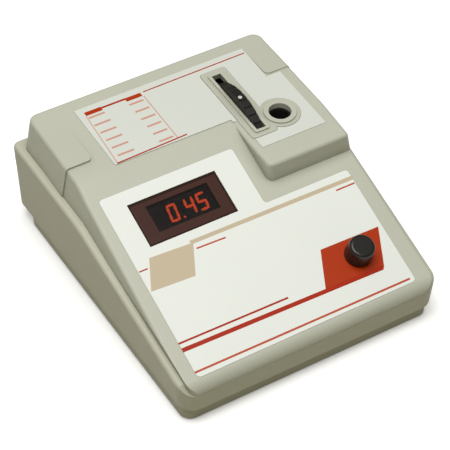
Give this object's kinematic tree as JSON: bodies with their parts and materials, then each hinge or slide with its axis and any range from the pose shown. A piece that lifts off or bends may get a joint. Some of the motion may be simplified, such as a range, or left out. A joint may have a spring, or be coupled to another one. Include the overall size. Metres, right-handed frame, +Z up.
{
  "type": "digital colorimeter",
  "caption": "Bench-top digital photo colorimeter with a wedge-shaped case, sloping panel, display window, set knob, filter wheel and tube well.",
  "frame": {"origin": "on the bench, below the middle of the case", "axes": "+Z up, -Y towards the front edge with the sloping panel, +X to the right seen from the front"},
  "size_m": [0.2244, 0.2602, 0.1115],
  "materials": {
    "case_plastic": "light beige textured moulding",
    "window_plastic": "smoked dark red window",
    "display_plastic": "red segment displays",
    "board_laminate": "green lacquered laminate",
    "label_film": "pale printed film",
    "screw_steel": "zinc plated",
    "foot_rubber": "black rubber",
    "panel_metal": "grey anodised sheet",
    "fitting_plastic": "black moulding",
    "contact_brass": "plain",
    "fuse_glass": "clear tube with metal ends",
    "pot_metal": "plated",
    "knob_plastic": "black moulding",
    "wheel_plastic": "black moulding",
    "filter_glass": "coloured optical glass",
    "bench_metal": "folded sheet",
    "well_metal": "black anodised",
    "holder_plastic": "black moulding",
    "lamp_glass": "clear bulb",
    "lens_glass": "clear",
    "cell_metal": "plated can",
    "chip_epoxy": "black epoxy",
    "capacitor_sleeve": "blue sleeve",
    "sink_metal": "black anodised",
    "core_steel": "varnished laminations",
    "winding_tape": "yellow tape",
    "bracket_steel": "zinc plated"
  },
  "bodies": {
    "housing": {"axle_clips": "screw_steel", "base_case": "case_plastic", "bench_screws": "screw_steel", "board_screws": "screw_steel", "bracket_screws": "screw_steel", "capacitors": "capacitor_sleeve", "case_screws": "screw_steel", "condenser_lens": "lens_glass", "detent_spring": "screw_steel", "display_board": "board_laminate", "display_digits": "display_plastic", "display_screws": "screw_steel", "display_window": "window_plastic", "driver_chip": "chip_epoxy", "filter_axle": "screw_steel", "front_label": "label_film", "fuse_holder": "fitting_plastic", "heatsink": "sink_metal", "inlet_pins": "contact_brass", "inlet_screws": "screw_steel", "lamp_bulb": "lamp_glass", "lamp_holder": "holder_plastic", "lens_holder": "holder_plastic", "main_board": "board_laminate", "mains_inlet": "fitting_plastic", "op_amp_chips": "chip_epoxy", "optical_bench": "bench_metal", "panel_screws": "screw_steel", "photocell": "cell_metal", "photocell_holder": "holder_plastic", "plateau_label": "label_film", "pot_nut": "pot_metal", "potentiometer": "pot_metal", "rear_panel": "panel_metal", "regulator": "chip_epoxy", "rocker_pin": "screw_steel", "rubber_feet": "foot_rubber", "sample_well": "well_metal", "switch_frame": "fitting_plastic", "top_cover": "case_plastic", "transformer_bracket": "bracket_steel", "transformer_core": "core_steel", "transformer_winding": "winding_tape", "well_screws": "screw_steel"},
    "filter_wheel": {"filter_wheel": "wheel_plastic", "colour_filters": "filter_glass", "wheel_bush": "contact_brass"},
    "set_knob": {"set_knob": "knob_plastic", "pot_shaft": "contact_brass", "knob_screw": "screw_steel"},
    "power_rocker": {"power_rocker": "fitting_plastic"},
    "fuse_cap": {"fuse_cap": "fitting_plastic", "mains_fuse": "fuse_glass"}
  },
  "joints": [
    {"name": "filter_wheel_turn", "type": "hinge", "parent": "housing", "child": "filter_wheel", "pos_m": [0.0452, 0.05145, 0.0655], "axis": [1, 0, 0], "continuous": true},
    {"name": "set_knob_turn", "type": "hinge", "parent": "housing", "child": "set_knob", "pos_m": [0.061, -0.09025, 0.05359], "axis": [0, -0.3633, 0.9317], "range_deg": [-150, 150]},
    {"name": "power_rocker_tilt", "type": "hinge", "parent": "housing", "child": "power_rocker", "pos_m": [0.06, 0.11375, 0.047], "axis": [1, 0, 0], "range_deg": [0, 20]},
    {"name": "fuse_cap_turn", "type": "hinge", "parent": "housing", "child": "fuse_cap", "pos_m": [0.014, 0.11375, 0.047], "axis": [0, 1, 0], "range_deg": [0, 45]}
  ]
}
